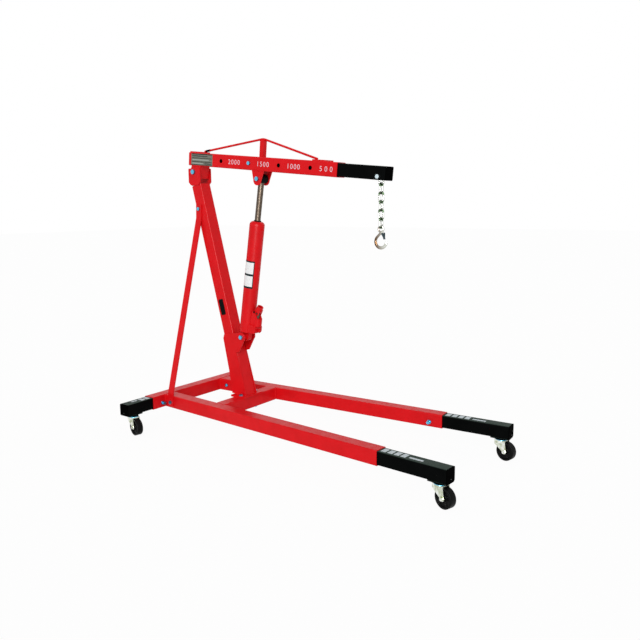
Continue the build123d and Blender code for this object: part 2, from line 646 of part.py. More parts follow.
with BuildPart() as ram_cylinder:
    rod(across(RAM, RAM_BOTTOM), RAM_R, RAM_TOP - RAM_BOTTOM)
    fillet(edges().sort_by(Axis(origin=RAM.origin, direction=RAM.x_dir))[-1], RAM_CROWN)
    with BuildSketch(RAM) as tongue_side:
        Circle(TONGUE_R)
        with Locations(((RAM_BOTTOM + 2) / 2, 0)):
            Rectangle(RAM_BOTTOM + 2, 2 * TONGUE_R)
    extrude(tongue_side.sketch, amount=TONGUE_HALF, both=True)
    for face in (1, -1):
        rod(seat(RAM, 0, 0, face * TONGUE_HALF), RAM_BOLT, face * (CHEEK_INNER - 2 - TONGUE_HALF))
    drill(RAM, RAM_BOLT / 2 + RUNNING, 2 * CHEEK_INNER)
    rod(across(RAM, BORE_BOTTOM), CYLINDER_R, BORE_TOP - BORE_BOTTOM, mode=Mode.SUBTRACT)
    rod(across(RAM, BORE_TOP), ROD_R + RUNNING, RAM_TOP - BORE_TOP, mode=Mode.SUBTRACT)
    plug = Plane(origin=RAM.from_local_coords((PLUG_AT, RAM_R - 1, 0)), z_dir=RAM.y_dir)
    rod(plug, 6, 5)
save(ram_cylinder, "ram_cylinder")

with BuildPart() as ram_rod:
    rod(across(RAM, PISTON_AT), ROD_R, ROD_EYE_AT - ROD_EYE_R + 4 - PISTON_AT)
    rod(across(RAM, PISTON_AT - PISTON_LENGTH / 2), CYLINDER_R - RUNNING, PISTON_LENGTH)
    rod(seat(RAM, ROD_EYE_AT, 0, -ROD_EYE_HALF), ROD_EYE_R, 2 * ROD_EYE_HALF)
    drill(seat(RAM, ROD_EYE_AT, 0, 0), RAM_BOLT / 2 + FREE, 2 * ROD_EYE_HALF)
save(ram_rod, "ram_rod")

with BuildPart() as pump_body:
    with BuildSketch(RAM) as fork_side:
        with BuildLine():
            Polyline(
                (PUMP_BLOCK_TOP - 4, RAM_R - 4), (FULCRUM_UP, FULCRUM_OUT - LEVER_R),
                (FULCRUM_UP, FULCRUM_OUT + LEVER_R), (PUMP_TOP, PUMP_OUT + LEVER_R),
                (PUMP_BLOCK_TOP - 4, PUMP_OUT + LEVER_R), (PUMP_BLOCK_TOP - 4, RAM_R - 4),
            )
        make_face()
        with Locations((FULCRUM_UP, FULCRUM_OUT)):
            Circle(LEVER_R)
    twin_plates(fork_side.sketch, FORK_INNER, FORK_OUTER)
    with BuildSketch(RAM) as block_side:
        with Locations(((PUMP_BOTTOM + PUMP_BLOCK_TOP) / 2, PUMP_OUT / 2 + 12)):
            RectangleRounded(PUMP_BLOCK_TOP - PUMP_BOTTOM, PUMP_OUT, PUMP_CORNER)
    extrude(block_side.sketch, amount=PUMP_BLOCK_HALF, both=True)
    rod(across(RAM, PUMP_BLOCK_TOP - 4, PUMP_OUT + 2), PUMP_BARREL_R, PUMP_TOP - PUMP_BLOCK_TOP + 4)
    rod(across(RAM, PUMP_BLOCK_TOP, PUMP_OUT), FORK_INNER, 2 * PUMP_TOP, mode=Mode.SUBTRACT)
    rod(across(RAM, PUMP_BLOCK_TOP - 1, PUMP_OUT), PUMP_BARREL_R - 2, PUMP_TOP - PUMP_BLOCK_TOP + 1)
    rod(across(RAM, PUMP_BLOCK_TOP - 20, PUMP_OUT), PLUNGER_R, PUMP_TOP, mode=Mode.SUBTRACT)
    rod(across(RAM, 0), RAM_R, RAM_TOP, mode=Mode.SUBTRACT)
    drill(seat(RAM, FULCRUM_UP, FULCRUM_OUT, 0), 5, 2 * FORK_OUTER)
    valve_hole = Plane(origin=RAM.from_local_coords((VALVE_UP, PUMP_OUT + 12, 0)), z_dir=RAM.y_dir)
    drill(valve_hole, VALVE_R + RUNNING, 3 * VALVE_R)
save(pump_body, "pump_body")

with BuildPart() as pump_plunger:
    rod(across(RAM, PUMP_BLOCK_TOP - 8, PUMP_OUT), PLUNGER_R - RUNNING, FULCRUM_UP - PUMP_BLOCK_TOP - 2)
    with BuildSketch(RAM) as tongue:
        with Locations((FULCRUM_UP - 4, PUMP_OUT)):
            Rectangle(20, 13)
        fillet(tongue.vertices(), 5)
    extrude(tongue.sketch, amount=LEVER_INNER - 1, both=True)
    rod(seat(RAM, FULCRUM_UP, PUMP_OUT, -LEVER_OUTER), PLUNGER_PIN_R, 2 * LEVER_OUTER)
save(pump_plunger, "pump_plunger")

with BuildPart() as handle_socket:
    with BuildSketch(RAM) as lever_side:
        with Locations((FULCRUM_UP, FULCRUM_OUT)):
            Circle(LEVER_R - 1)
        Polygon(
            (FULCRUM_UP - 11, FULCRUM_OUT), (FULCRUM_UP - 9, PUMP_OUT + 10), (FULCRUM_UP + 22, PUMP_OUT + 20),
            (FULCRUM_UP + 20, FULCRUM_OUT), align=None,
        )
    twin_plates(lever_side.sketch, LEVER_INNER, LEVER_OUTER)
    socket_foot = RAM.from_local_coords((FULCRUM_UP + 11, PUMP_OUT, 0))
    lean = Plane(
        origin=socket_foot, x_dir=(0, 1, 0),
        z_dir=RAM.x_dir * cos(SOCKET_LEAN) + RAM.y_dir * sin(SOCKET_LEAN),
    )
    rod(lean, SOCKET_R, SOCKET_LENGTH)
    rod(lean.offset(4), SOCKET_BORE_R, SOCKET_LENGTH, mode=Mode.SUBTRACT)
    with BuildSketch(RAM) as pin_slot:
        with Locations((FULCRUM_UP, PUMP_OUT)):
            SlotOverall(2 * PLUNGER_PIN_R + 8, 2 * PLUNGER_PIN_R + 1.8, rotation=90)
    extrude(pin_slot.sketch, amount=LEVER_OUTER, both=True, mode=Mode.SUBTRACT)
    rod(seat(RAM, FULCRUM_UP, FULCRUM_OUT, -FORK_OUTER - 2), 5 - RUNNING, 2 * FORK_OUTER + 4)
save(handle_socket, "handle_socket")

with BuildPart() as release_valve:
    rod(valve_hole.offset(-2 * VALVE_R), VALVE_R, 2 * VALVE_R + 5)
    hexagon(valve_hole.offset(3), 2.4 * VALVE_R, 9)
save(release_valve, "release_valve")
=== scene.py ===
import json
import math

import bpy
from mathutils import Matrix, Vector


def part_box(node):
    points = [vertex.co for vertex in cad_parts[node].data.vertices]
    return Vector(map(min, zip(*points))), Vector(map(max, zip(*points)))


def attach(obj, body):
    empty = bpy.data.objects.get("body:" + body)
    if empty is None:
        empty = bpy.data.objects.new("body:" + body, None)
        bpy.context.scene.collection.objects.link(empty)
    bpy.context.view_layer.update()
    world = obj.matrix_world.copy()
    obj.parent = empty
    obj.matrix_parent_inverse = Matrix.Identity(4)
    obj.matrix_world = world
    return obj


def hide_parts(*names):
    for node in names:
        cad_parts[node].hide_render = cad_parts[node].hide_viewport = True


bl_info = {
    "name": "Engine hoist",
    "version": (1, 0, 0),
    "blender": (4, 5, 0),
    "location": "View3D > Sidebar > Hoist",
    "description": "Paint, plating, welds, labels and fittings for a workshop engine hoist",
    "category": "Object",
}

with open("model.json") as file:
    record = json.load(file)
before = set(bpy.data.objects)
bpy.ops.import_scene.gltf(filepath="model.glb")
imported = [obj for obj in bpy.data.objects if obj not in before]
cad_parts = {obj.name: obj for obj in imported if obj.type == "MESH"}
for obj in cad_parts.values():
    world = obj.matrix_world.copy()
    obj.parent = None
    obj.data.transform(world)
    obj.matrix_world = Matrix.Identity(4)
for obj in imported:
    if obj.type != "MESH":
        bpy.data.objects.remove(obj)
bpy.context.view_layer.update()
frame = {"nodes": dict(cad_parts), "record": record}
JOINTS = {joint["name"]: joint for joint in frame["record"]["behaviour"]["joints"]}
MM = 0.001
X_AXIS, Y_AXIS, Z_AXIS = Vector((1, 0, 0)), Vector((0, 1, 0)), Vector((0, 0, 1))
NEAR, FAR = -1, 1


# ---- where things are, from the frame's own joints and boxes ----


def joint_at(name):
    return Vector(JOINTS[name]["pos_m"])


def joint_axis(name):
    return Vector(JOINTS[name]["axis"])


class Rig:
    """A set of axes: u along a part, v square to it in the side view, w to the crane's left."""

    def __init__(self, origin, along, square):
        self.origin, self.w = origin, Y_AXIS
        self.u, self.v = along.normalized(), square.normalized()

    def at(self, u, v, w=0.0):
        """A point from distances in millimetres."""
        return self.origin + (self.u * u + self.v * v + self.w * w) * MM


def leaning(origin, angle, u=X_AXIS, v=Z_AXIS):
    """A rig turned by an angle in the side view, from u towards v."""
    along = u * math.cos(angle) + v * math.sin(angle)
    return Rig(origin, along, along.cross(Y_AXIS))


# Named sizes are in millimetres, except the stage's, which are in metres.
TUBE = 70

# The boom's sleeve, from the boom's pivot.
SLEEVE_MID, SLEEVE_SIDE = 68.2, TUBE / 2
SLEEVE_LOW, SLEEVE_TOP = SLEEVE_MID - SLEEVE_SIDE, SLEEVE_MID + SLEEVE_SIDE
CLEVIS_AT = 455.8
HOLE_FIRST, HOLE_PITCH, OPEN_HOLES = 197, 197.5, (0, 2, 3)
STAY_END, STAY_RISE = (48, 113.9), math.radians(11)

MAST_FOOT_X, MAST_LEAN = -484, math.radians(14.53)

boom_along = joint_axis("boom_slide")
BOOM = Rig(joint_at("boom_hinge"), boom_along, boom_along.cross(Y_AXIS))
ram_along = joint_axis("rod_slide")
RAM = Rig(joint_at("ram_hinge"), ram_along, -ram_along.cross(Y_AXIS))
MAST = leaning(Vector((MAST_FOOT_X * MM, 0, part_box("mast")[0].z)), math.pi / 2 + MAST_LEAN)
STAY = leaning(BOOM.at(*STAY_END), STAY_RISE, BOOM.u, BOOM.v)
LEVEL = Rig(Vector((0, 0, 0)), X_AXIS, Z_AXIS)


def axes(origin, x, y, z):
    """A placing matrix from an origin and three directions."""
    turn = Matrix((x, y, z)).transposed().to_4x4()
    return Matrix.Translation(origin) @ turn


def standing(rig, u):
    """A place on a part's own line, with Z along the part."""
    return axes(rig.at(u, 0), rig.v, rig.u.cross(rig.v), rig.u)


def on_side(rig, u, v, w):
    """A place with X along a part and Z towards the near side."""
    return axes(rig.at(u, v, w), rig.u, rig.u.cross(Y_AXIS), -Y_AXIS)


# ---- modelling helpers ----


def deselect():
    """Leaves edit mode and selects nothing."""
    if bpy.context.object and bpy.context.object.mode != "OBJECT":
        bpy.ops.object.mode_set(mode="OBJECT")
    bpy.ops.object.select_all(action="DESELECT")


def pick(obj):
    """Selects one object alone and makes it active."""
    deselect()
    obj.select_set(True)
    bpy.context.view_layer.objects.active = obj
    return obj


def edit(obj):
    """Opens an object in edit mode, in face mode, with nothing selected."""
    pick(obj)
    bpy.ops.object.mode_set(mode="EDIT")
    bpy.ops.mesh.select_mode(type="FACE")
    bpy.ops.mesh.select_all(action="DESELECT")


def select_faces(obj, wanted):
    """Selects, in edit mode, the faces whose centre and normal pass a test."""
    bpy.ops.object.mode_set(mode="OBJECT")
    for face in obj.data.polygons:
        face.select = bool(wanted(face.center, face.normal))
    bpy.ops.object.mode_set(mode="EDIT")


def modified(obj, kind, **settings):
    """Adds a modifier and applies it."""
    pick(obj)
    modifier = obj.modifiers.new(kind.lower(), kind)
    for name, value in settings.items():
        setattr(modifier, name, value)
    bpy.ops.object.modifier_apply(modifier=modifier.name)
    return obj


def bevelled(obj, width, segments=3, angle=40):
    """Rounds the edges that are sharper than an angle in degrees."""
    return modified(obj, "BEVEL", width=width, segments=segments,
                    limit_method="ANGLE", angle_limit=math.radians(angle))


def smooth(obj, angle=40):
    """Shades an object smooth, except over edges sharper than an angle in degrees."""
    pick(obj)
    bpy.ops.object.shade_smooth_by_angle(angle=math.radians(angle))
    return obj


def outward(obj):
    """Merges doubled points and turns every face outwards."""
    edit(obj)
    bpy.ops.mesh.select_all(action="SELECT")
    bpy.ops.mesh.remove_doubles(threshold=1e-6)
    bpy.ops.mesh.normals_make_consistent(inside=False)
    bpy.ops.object.mode_set(mode="OBJECT")
    return obj


def settle(obj, name, body, material, place=None, hides=()):
    """Names a finished piece, puts its place into its mesh, and hangs it on its body."""
    deselect()
    if place is not None:
        obj.matrix_world = place @ obj.matrix_world
    pick(obj)
    bpy.ops.object.transform_apply(location=True, rotation=True, scale=True)
    obj.name = obj.data.name = name
    obj.data.materials.clear()
    obj.data.materials.append(material)
    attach(obj, body)
    if hides:
        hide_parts(*hides)
    return obj


def copy_of(obj):
    twin = obj.copy()
    twin.data = obj.data.copy()
    bpy.context.collection.objects.link(twin)
    return twin


def drop(obj):
    bpy.data.objects.remove(obj)


# ---- colours and materials ----


def linear(code):
    """Linear colour from an sRGB hex value."""
    parts = [int(code[i:i + 2], 16) / 255 for i in (1, 3, 5)]
    return [c / 12.92 if c <= 0.04045 else ((c + 0.055) / 1.055) ** 2.4 for c in parts] + [1.0]


def put(tree, kind, inputs=None, **settings):
    """Adds a node, sets its properties, and fills or links its inputs."""
    node = tree.nodes.new(kind)
    for name, value in settings.items():
        setattr(node, name, value)
    for name, value in (inputs or {}).items():
        socket = node.inputs[name]
        if isinstance(value, bpy.types.NodeSocket):
            tree.links.new(value, socket)
        else:
            socket.default_value = value
    return node


def maths(tree, operation, *values):
    """The result of a math node."""
    return put(tree, "ShaderNodeMath", dict(enumerate(values)), operation=operation).outputs[0]


def remap(tree, value, start, end, low=0.0, high=1.0):
    """Takes the range low to high onto start to end, and holds the ends."""
    return put(tree, "ShaderNodeMapRange", {
        "Value": value, "From Min": low, "From Max": high, "To Min": start, "To Max": end,
    }).outputs[0]


def blend_colours(tree, factor, first, second):
    """The first colour where the factor is 0, the second where it is 1."""
    mix = put(tree, "ShaderNodeMix", {0: factor, 6: first, 7: second}, data_type="RGBA")
    return mix.outputs[2]


def component(tree, kind, axis):
    """One component of a point's place on the object or of its normal."""
    where = put(tree, "ShaderNodeTexCoord").outputs[kind]
    return put(tree, "ShaderNodeSeparateXYZ", {0: where}).outputs[axis]


def speckle(tree, size, detail=2.0, stretch=None):
    """Noise whose patches are about one size in metres, brought to the range 0 to 1."""
    where = put(tree, "ShaderNodeTexCoord").outputs["Object"]
    if stretch:
        where = put(tree, "ShaderNodeMapping", {"Vector": where, "Scale": stretch}).outputs[0]
    noise = put(tree, "ShaderNodeTexNoise", {"Vector": where, "Scale": 1 / size, "Detail": detail})
    return remap(tree, noise.outputs["Fac"], 0, 1, 0.35, 0.65)


def new_material(name):
    material = bpy.data.materials.new(name)
    material.use_nodes = True
    material.node_tree.nodes.clear()
    return material, material.node_tree


def finish_material(material, tree, colour, metallic, roughness, height, depth, gloss=0.5):
    """Joins a colour, a roughness and a relief of some depth into the material's surface."""
    relief = put(tree, "ShaderNodeBump", {"Height": height, "Distance": depth, "Strength": 0.6})
    shader = put(tree, "ShaderNodeBsdfPrincipled", {
        "Base Color": colour, "Metallic": metallic, "Roughness": roughness,
        "Specular IOR Level": gloss, "Normal": relief.outputs[0],
    })
    put(tree, "ShaderNodeOutputMaterial", {"Surface": shader.outputs[0]})
    return material


def powder_coat(name, paint, thin, roughness, gloss, painted_sheen=None):
    """Baked powder coat on steel: slight orange peel, a little thinner and darker in patches."""
    material, tree = new_material(name)
    colour = blend_colours(tree, speckle(tree, 60 * MM, 3), linear(thin), linear(paint))
    if painted_sheen:
        # Painted sheen: the faces that look up are mixed towards a pale colour that stands in for
        # their grazing reflection.
        share = remap(tree, component(tree, "Normal", 2), 0, 1, 0.6, 0.95)
        colour = blend_colours(tree, share, colour, linear(painted_sheen))
    rough = remap(tree, speckle(tree, 35 * MM), roughness - 0.05, roughness + 0.05)
    # The real 1 mm peel is too fine to show, so it is drawn at 3 mm.
    peel = speckle(tree, 3 * MM, 1)
    return finish_material(material, tree, colour, 0.0, rough, peel, 0.15 * MM, gloss)


def plated(name, light, dark, patch, roughness, depth=0.05, stretch=None):
    """Plated or ground steel whose tone changes in patches or along its grain, in millimetres."""
    material, tree = new_material(name)
    patches = speckle(tree, patch * MM, 3, stretch)
    colour = blend_colours(tree, patches, linear(dark), linear(light))
    rough = remap(tree, patches, roughness + 0.08, roughness - 0.05)
    return finish_material(material, tree, colour, 1.0, rough, patches, depth * MM)


def contact_shaded(name, light, dark, first, pitch):
    """Zinc chain wire with green-black painted shade where each link bears on the next."""
    material, tree = new_material(name)
    below = maths(tree, "SUBTRACT", component(tree, "Object", 2), first)
    away = maths(tree, "PINGPONG", below, pitch / 2)
    share = remap(tree, away, 0, 1, 5 * MM, 9 * MM)
    colour = blend_colours(tree, share, linear(dark), linear(light))
    return finish_material(material, tree, colour, 1.0, 0.3, speckle(tree, 4 * MM), 0.05 * MM)


def heat_tinted(name, bright, tinted, middle):
    """Forged and plated hook steel: brown at the back of the bowl, bright towards the point."""
    material, tree = new_material(name)
    patches = speckle(tree, 9 * MM, 3)
    wander = maths(tree, "MULTIPLY_ADD", patches, 8 * MM, component(tree, "Object", 0))
    share = remap(tree, wander, 0, 1, middle - 20 * MM, middle + 20 * MM)
    colour = blend_colours(tree, share, linear(tinted), linear(bright))
    rough = remap(tree, patches, 0.34, 0.24)
    return finish_material(material, tree, colour, 1.0, rough, patches, 0.2 * MM)


def moulded(name, light, dark, grain, roughness, gloss=0.3):
    """Moulded nylon or vinyl: a faint grain, in millimetres, and an even low gloss."""
    material, tree = new_material(name)
    grains = speckle(tree, grain * MM, 2)
    colour = blend_colours(tree, grains, linear(dark), linear(light))
    rough = remap(tree, speckle(tree, 20 * MM), roughness - 0.06, roughness + 0.06)
    return finish_material(material, tree, colour, 0.0, rough, grains, 0.08 * MM, gloss)


RINGS, BRUSHED = (0.4, 0.4, 2.5), (0.2, 1, 3)


def make_finishes():
    link_pivot = joint_at("link_2_swing")
    link_pitch = link_pivot.z - joint_at("link_3_swing").z
    return {
        # Gloss powder coat: strong colour, soft wide highlights, pale at a grazing angle.
        "red": powder_coat("red_powder_coat", "#DC1018", "#D40E15", 0.36, 0.12),
        # Black powder coat; its last colour is a pale grey-green painted sheen on the faces that
        # look up.
        "black": powder_coat("black_powder_coat", "#040505", "#020303", 0.45, 0.02, "#3A4640"),
        # Blue-passivated zinc on bolts, with 2 mm spangles, and the clear zinc of the hook's bolt.
        "zinc": plated("bright_zinc_plate", "#74CAEA", "#46A2C6", 2, 0.3),
        "bright": plated("bright_bolt_steel", "#DDEBEF", "#AFC6CF", 2, 0.28),
        # Yellow chromate on pressed caster forks: pale metal that turns greenish in patches.
        "chromate": plated("chromate_zinc_plate", "#F0F3EE", "#A6AE8C", 16, 0.3),
        # Ground piston rod with an oil film: fine rings, brown-grey.
        "rod": plated("ground_rod_steel", "#5F554A", "#4C4138", 14, 0.4, 0.004, RINGS),
        "chain": contact_shaded("zinc_chain_wire", "#9EA09B", "#43563D", link_pivot.z, link_pitch),
        "forged": heat_tinted("forged_hook_steel", "#C6C8BF", "#5E442B", joint_at("hook_swing").x),
        "latch": powder_coat("blued_latch_sheet", "#1D3A44", "#142A32", 0.4, 0.4),
        # Anodised foil plate: grey metal brushed along its length.
        "foil": plated("brushed_foil", "#84867C", "#626359", 3, 0.4, stretch=BRUSHED),
        "foil_bright": plated("brushed_foil_bright", "#AEB4AC", "#8D948D", 3, 0.36,
                              stretch=BRUSHED),
        "foil_dark": plated("brushed_foil_dark", "#4B4F4D", "#363A38", 3, 0.42, stretch=BRUSHED),
        # Nylon, rubber, vinyl film and ink: low gloss and a faint grain.
        "nylon": moulded("black_nylon", "#050606", "#030303", 2, 0.45, 0.08),
        # The plug and rubber blacks also make the painted-shade pieces in the boom's holes, in the
        # rod's eye and on the pump.
        "plug": moulded("black_plug_and_hole_shade", "#030303", "#020202", 8, 0.7, 0.004),
        "rubber": moulded("black_rubber_and_shade", "#040404", "#020202", 5, 0.6, 0.05),
        "label_border": moulded("teal_black_vinyl", "#12282B", "#0C1C1F", 8, 0.4, 0.1),
        "vinyl_white": moulded("white_vinyl", "#F1F2F2", "#E4E6E7", 8, 0.38),
        "vinyl_dark": moulded("dark_vinyl", "#040706", "#020404", 8, 0.5, 0.05),
        "marking": moulded("screen_print_white", "#EBDDE6", "#D8C3CF", 5, 0.5),
        "leg_marking": moulded("screen_print_grey", "#D9E2E6", "#AEBAC0", 5, 0.5),
    }


SLOT_FINISH = {
    "red_paint": "red", "black_paint": "black", "zinc_bolt": "zinc", "polished_rod": "rod",
    "chain_steel": "chain", "hook_steel": "forged", "latch_steel": "latch",
    "zinc_caster": "chromate", "wheel_black": "nylon",
}
FINISHES = {}


def finish_of(node, slot):
    """A node's finish: its slot's, except on end caps and on the hook's bolt."""
    if node == "hook_bolt":
        return FINISHES["bright"]
    if node.endswith("_cap") or "_cap_" in node:
        return FINISHES["plug"]
    return FINISHES[SLOT_FINISH[slot]]


class HOIST_OT_finishes(bpy.types.Operator):
    """Gives every part of the frame its paint or plating"""

    bl_idname = "hoist.finishes"
    bl_label = "Finishes"

    def execute(self, context):
        FINISHES.update(make_finishes())
        for entry in frame["record"]["subparts"]:
            materials = frame["nodes"][entry["node"]].data.materials
            materials.clear()
            materials.append(finish_of(entry["node"], entry["material_slot"]))
        return {"FINISHED"}


# ---- settings ----


class HoistSettings(bpy.types.PropertyGroup):
    """Sizes a user may change."""

    bead_radius: bpy.props.FloatProperty(
        name="Weld bead radius", description="Half the width of a fillet weld",
        default=3.2 * MM, unit="LENGTH")
    ripple: bpy.props.FloatProperty(
        name="Weld ripple", description="Length of one ripple of a weld",
        default=6 * MM, unit="LENGTH")
    number_height: bpy.props.FloatProperty(
        name="Number size", description="Type size of the load numbers on the boom",
        default=35 * MM, unit="LENGTH")
    film: bpy.props.FloatProperty(
        name="Number film", description="Thickness of the load numbers' film",
        default=0.5 * MM, unit="LENGTH")


class HoistStage(bpy.types.PropertyGroup):
    """The camera."""

    camera_at: bpy.props.FloatVectorProperty(
        name="Camera", description="Where the camera stands",
        default=(2.0235, -2.7018, 1.204), unit="LENGTH")
    heading: bpy.props.FloatProperty(
        name="Heading", description="Turn of the camera from +Y",
        default=math.radians(36.44), unit="ROTATION")
    pitch: bpy.props.FloatProperty(
        name="Pitch", description="Tilt of the camera below the horizon",
        default=math.radians(9.49), unit="ROTATION")
    roll: bpy.props.FloatProperty(
        name="Roll", description="Turn of the camera about its view",
        default=math.radians(-0.55), unit="ROTATION")
    lens: bpy.props.FloatProperty(
        name="Lens", description="Focal length in millimetres", default=38.41)


# ---- welds ----

RIPPLE_SIDES, RIPPLE_NECK, RIPPLE_SWELL = 10, 0.8, 1.22
BEAD_INSET, BEAD_SINK, CROSS_INSET = 6, 0.5, 5


def weld_ripple(radius, pitch):
    """One ripple of a weld bead, along +Z: it swells to its middle and shrinks again."""
    deselect()
    bpy.ops.mesh.primitive_circle_add(
        vertices=RIPPLE_SIDES, radius=radius * RIPPLE_NECK, fill_type="NOTHING")
    ripple = bpy.context.object
    bpy.ops.object.mode_set(mode="EDIT")
    bpy.ops.mesh.select_all(action="SELECT")
    for growth in (RIPPLE_SWELL, 1 / RIPPLE_SWELL):
        bpy.ops.mesh.extrude_region_move(TRANSFORM_OT_translate={"value": (0, 0, pitch / 2)})
        bpy.ops.transform.resize(value=(growth, growth, 1))
    bpy.ops.object.mode_set(mode="OBJECT")
    return ripple


def weld(ripple, pitch, name, body, start, end):
    """A rippled bead along a seam between two points."""
    run = end - start
    bead = modified(
        copy_of(ripple), "ARRAY", count=max(2, round(run.length / pitch)),
        use_relative_offset=False, use_constant_offset=True,
        constant_offset_displace=(0, 0, pitch), use_merge_vertices=True, merge_threshold=0.1 * MM)
    edit(bead)
    bpy.ops.mesh.select_mode(type="EDGE")
    bpy.ops.mesh.select_non_manifold()
    bpy.ops.mesh.fill_holes(sides=0)
    bpy.ops.object.mode_set(mode="OBJECT")
    smooth(outward(bead), 80)
    turn = run.to_track_quat("Z", "Y").to_matrix().to_4x4()
    settle(bead, name, body, FINISHES["red"], Matrix.Translation(start) @ turn)


class HOIST_OT_welds(bpy.types.Operator):
    """Adds the visible fillet welds of the frame, the head and the boom"""

    bl_idname = "hoist.welds"
    bl_label = "Welds"

    def execute(self, context):
        sizes = context.scene.hoist_settings
        ripple = weld_ripple(sizes.bead_radius, sizes.ripple)
        for side, word in ((NEAR, "right"), (FAR, "left")):
            for name, body, start, end in (*self.frame_seams(side, word),
                                           *self.side_seams(side, word)):
                weld(ripple, sizes.ripple, f"weld_{name}", body, start, end)
        drop(ripple)
        return {"FINISHED"}

    def frame_seams(self, side, word):
        """Seams of one leg on the rear beam, and of the crossbeam on that leg."""
        beam_low, beam_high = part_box("rear_beam")
        cross_low, cross_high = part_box("front_crossbeam")
        inner = min(abs(corner.y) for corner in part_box(f"leg_{word}"))
        outer = inner + TUBE * MM
        inset = BEAD_INSET * MM
        for place, y in (("inner", inner), ("outer", outer)):
            yield (f"beam_{word}_{place}", "base",
                   Vector((beam_high.x, side * y, beam_low.z + inset)),
                   Vector((beam_high.x, side * y, beam_high.z - inset)))
        top = beam_high.z - BEAD_SINK * MM
        yield (f"beam_{word}_top", "base",
               Vector((beam_high.x, side * (inner + inset), top)),
               Vector((beam_high.x, side * (outer - inset), top)))
        reach = side * (cross_high.y - CROSS_INSET * MM)
        for place, x in (("back", cross_low.x), ("front", cross_high.x)):
            yield (f"cross_{word}_{place}", "base",
                   Vector((x, reach, cross_low.z + inset)),
                   Vector((x, reach, cross_high.z - inset)))

    def side_seams(self, side, word):
        """Seams in the side view: a run along u at one v, and the distance from the middle."""
        foot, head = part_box("mast")[0].z / MM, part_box("head_plates")[0].z / MM
        face = SLEEVE_SIDE - BEAD_SINK
        for name, body, rig, first, last, v, w in (
            ("cheek", "base", LEVEL, -526, -446, foot, 43),
            ("head", "base", LEVEL, -810, -758, head, 37),
            ("lug", "boom", BOOM, -20, 40, SLEEVE_LOW, face),
            ("clevis", "boom", BOOM, 420, 492, SLEEVE_LOW, face),
            ("post", "boom", BOOM, CLEVIS_AT - 10, CLEVIS_AT + 10, SLEEVE_TOP, 12.5),
            ("stay_rear", "boom", BOOM, -40, 46, SLEEVE_TOP, 29),
            ("stay_front", "boom", BOOM, 798, 874, SLEEVE_TOP, 29),
        ):
            yield f"{name}_{word}", body, rig.at(first, v, side * w), rig.at(last, v, side * w)


# ---- wheels and ball races ----

WHEEL_R, WHEEL_WIDTH = 44.8, 30.8
# The wheel's side from the tread inwards: the rim, its lip, the dished web, and the hub.
RIM_SHARE, RIM_RISE, RIM_LIP = 0.2, 1, 2
WEB_SHARE, WEB_DEPTH, HUB_LIP = 0.42, 7, 1.5
RIBS, RIB_ARC, RIB_RISE, RIB_AT, RIB_REACH = 6, 8, 4, 0.55, 0.12
RACE_R, BALL_R, RACE_FLATTEN, RACE_LIFT = 25.5, 2.4, 0.8, 1


def on_rib(centre, radius):
    """Whether a face of the web is part of one of the ribs."""
    turn = math.degrees(math.atan2(centre.y, centre.x)) % (360 / RIBS)
    return abs(centre.xy.length - radius * RIB_AT) < radius * RIB_REACH and turn < RIB_ARC


def nylon_wheel(radius, width):
    """A moulded wheel about +Z: crowned tread, dished sides with ribs, and a proud hub."""
    deselect()
    bpy.ops.mesh.primitive_cylinder_add(vertices=72, radius=radius, depth=width)
    wheel = bpy.context.object
    for side in (1, -1):
        def looks_out(centre, normal):
            return normal.z * side > 0.9

        edit(wheel)
        select_faces(wheel, looks_out)
        for inset, rise in (
            (radius * RIM_SHARE, RIM_RISE), (RIM_LIP * MM, -WEB_DEPTH),
            (radius * WEB_SHARE, 0), (HUB_LIP * MM, WEB_DEPTH),
        ):
            bpy.ops.mesh.inset(thickness=inset)
            bpy.ops.transform.translate(value=(0, 0, side * rise * MM))
        select_faces(wheel, lambda centre, normal: (
            looks_out(centre, normal) and on_rib(centre, radius)))
        bpy.ops.mesh.extrude_region_move(
            TRANSFORM_OT_translate={"value": (0, 0, side * RIB_RISE * MM)})
        bpy.ops.object.mode_set(mode="OBJECT")
    bevelled(outward(wheel), 2.2 * MM, 3, 50)
    return smooth(wheel)


class HOIST_OT_wheels(bpy.types.Operator):
    """Replaces the plain wheels with moulded ones and adds the swivels' ball races"""

    bl_idname = "hoist.wheels"
    bl_label = "Wheels"

    def execute(self, context):
        wheel = nylon_wheel(WHEEL_R * MM, WHEEL_WIDTH * MM)
        deselect()
        bpy.ops.mesh.primitive_torus_add(
            major_radius=RACE_R * MM, minor_radius=BALL_R * MM,
            major_segments=48, minor_segments=12)
        race = context.object
        race.scale.z = RACE_FLATTEN
        for corner in ("front_left", "front_right", "rear_left", "rear_right"):
            centre, axle = joint_at(f"spin_{corner}"), joint_axis(f"spin_{corner}")
            across = Z_AXIS.cross(axle).normalized()
            settle(copy_of(wheel), f"wheel_{corner}", f"wheel_{corner}", FINISHES["nylon"],
                   axes(centre, across, axle.cross(across), axle),
                   [f"caster_wheel_{corner}"])
            fork_top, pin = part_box(f"caster_fork_{corner}")[1].z, joint_at(f"swivel_{corner}")
            settle(copy_of(race), f"ball_race_{corner}", f"swivel_{corner}", FINISHES["zinc"],
                   Matrix.Translation((pin.x, pin.y, fork_top + RACE_LIFT * MM)))
        drop(wheel)
        drop(race)
        return {"FINISHED"}


# ---- hook ----

# From the centre of the eye. The line of the forging has x, z and half its thickness.
EYE_R, EYE_WIRE = 13.2, 4.2
EYE_OUTER = EYE_R + EYE_WIRE
NECK = [(-1, -14, 5.6), (-5, -22, 6.0), (-12.5, -29, 6.2)]
BOWL_R, BOWL_DROP, TIP_R = 29, 57, 4.6
BOWL_TURNS, BOWL_FULL_AT, BOWL_FADE = range(137, 373, 15), 265, 200
BOWL_HALF, BOWL_SWELL, BOWL_FLATTEN = 5.4, 2.6, 0.72
KNUCKLE_R, KNUCKLE_X, KNUCKLE_Z, KNUCKLE_SHAPE = 8, 3, -19.5, (1.55, 0.7, 0.85)


